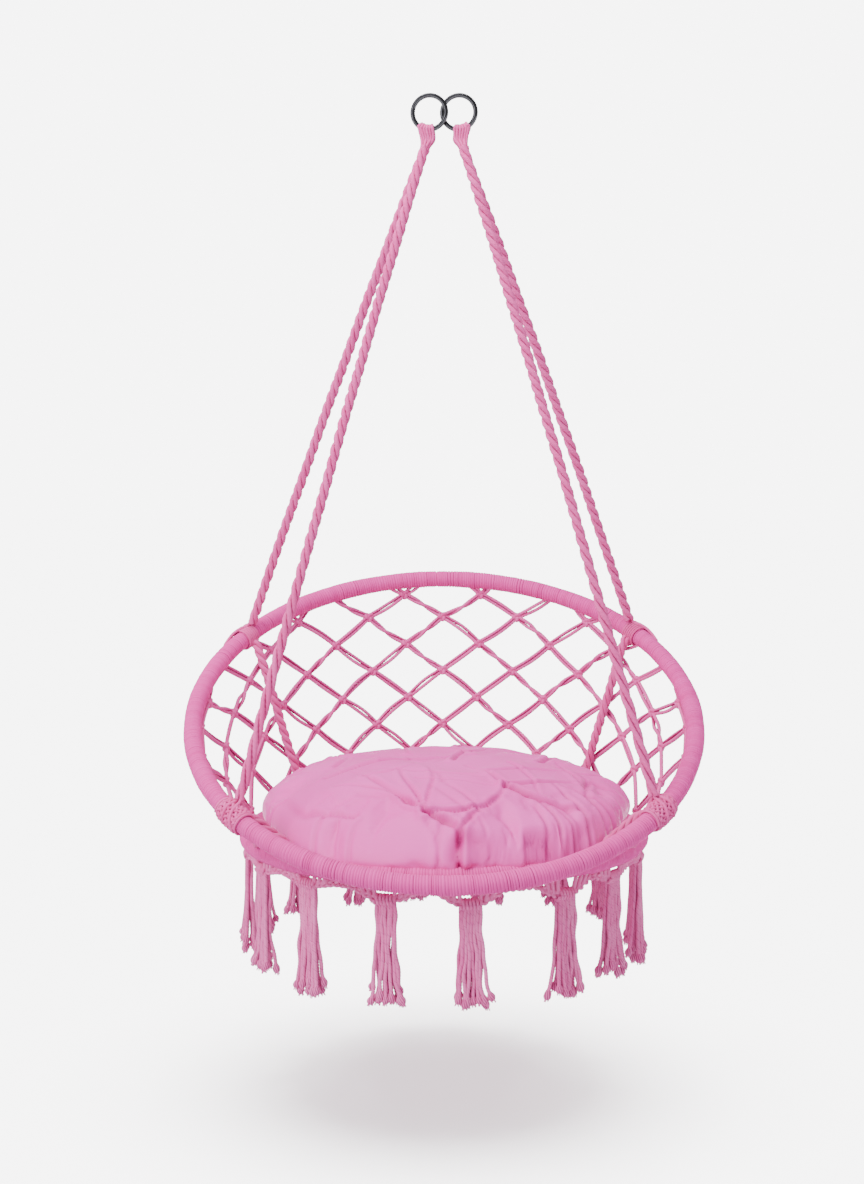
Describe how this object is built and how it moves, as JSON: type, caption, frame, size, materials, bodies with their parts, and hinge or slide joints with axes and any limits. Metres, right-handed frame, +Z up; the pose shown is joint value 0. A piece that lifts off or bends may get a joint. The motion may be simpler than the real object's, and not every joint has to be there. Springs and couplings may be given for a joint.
{
  "type": "hanging hoop chair",
  "caption": "Round macrame hanging chair: a tilted, cord-wrapped hoop over a seat ring, with a knotted net back, a round cushion and a tasselled fringe, hung on ropes from steel rings.",
  "frame": {"origin": "the hanging point: the height of the inside top of the two steel rings, midway between them", "axes": "+Z up, +Y to the net back, -Y to the open front of the seat, +X to the right in a view from the front"},
  "size_m": [0.7964, 0.6998, 1.3191],
  "materials": {
    "ring_steel": "polished",
    "hoop_steel": "satin",
    "rope": "matte",
    "wrap_cord": "matte",
    "net_cord": "matte",
    "fringe_cord": "matte",
    "cushion_fabric": "satin"
  },
  "bodies": {
    "rings": {"hanging_ring_left": "ring_steel", "hanging_ring_right": "ring_steel"},
    "chair": {"rope_loop_left": "rope", "rope_loop_right": "rope", "front_rope_left": "rope", "front_rope_right": "rope", "rear_rope_left": "rope", "rear_rope_right": "rope", "rear_support_left": "rope", "rear_support_right": "rope", "front_tie_left": "rope", "front_tie_right": "rope", "front_hitch_left": "rope", "front_hitch_right": "rope", "rear_hitch_left": "rope", "rear_hitch_right": "rope", "upper_hoop_tube": "hoop_steel", "seat_ring_tube": "hoop_steel", "upper_hoop_wrap_1": "wrap_cord", "upper_hoop_wrap_2": "wrap_cord", "upper_hoop_wrap_3": "wrap_cord", "upper_hoop_wrap_4": "wrap_cord", "seat_ring_wrap_1": "wrap_cord", "seat_ring_wrap_2": "wrap_cord", "seat_ring_wrap_3": "wrap_cord", "seat_ring_wrap_4": "wrap_cord", "net_panel_01": "net_cord", "net_panel_02": "net_cord", "net_panel_03": "net_cord", "net_panel_04": "net_cord", "net_panel_05": "net_cord", "net_panel_06": "net_cord", "net_panel_07": "net_cord", "net_panel_08": "net_cord", "net_panel_09": "net_cord", "net_panel_10": "net_cord", "net_panel_11": "net_cord", "net_panel_12": "net_cord", "seat_net": "net_cord", "fringe_tassel_01": "fringe_cord", "fringe_tassel_02": "fringe_cord", "fringe_tassel_03": "fringe_cord", "fringe_tassel_04": "fringe_cord", "fringe_tassel_05": "fringe_cord", "fringe_tassel_06": "fringe_cord", "fringe_tassel_07": "fringe_cord", "fringe_tassel_08": "fringe_cord", "fringe_tassel_09": "fringe_cord", "fringe_tassel_10": "fringe_cord", "fringe_tassel_11": "fringe_cord", "fringe_tassel_12": "fringe_cord", "fringe_tassel_13": "fringe_cord", "fringe_tassel_14": "fringe_cord", "fringe_tassel_15": "fringe_cord", "fringe_tassel_16": "fringe_cord", "fringe_swag_front": "fringe_cord", "fringe_swag_right": "fringe_cord", "fringe_swag_rear": "fringe_cord", "fringe_swag_left": "fringe_cord"},
    "cushion": {"cushion": "cushion_fabric"}
  },
  "joints": [
    {"name": "swing", "type": "hinge", "parent": "rings", "child": "chair", "pos_m": [0, 0, -0.0474], "axis": [1, 0, 0], "range_deg": [-25, 25]},
    {"name": "cushion_lift", "type": "slide", "parent": "chair", "child": "cushion", "axis": [0, 0, 1], "range_m": [0, 0.15]}
  ]
}
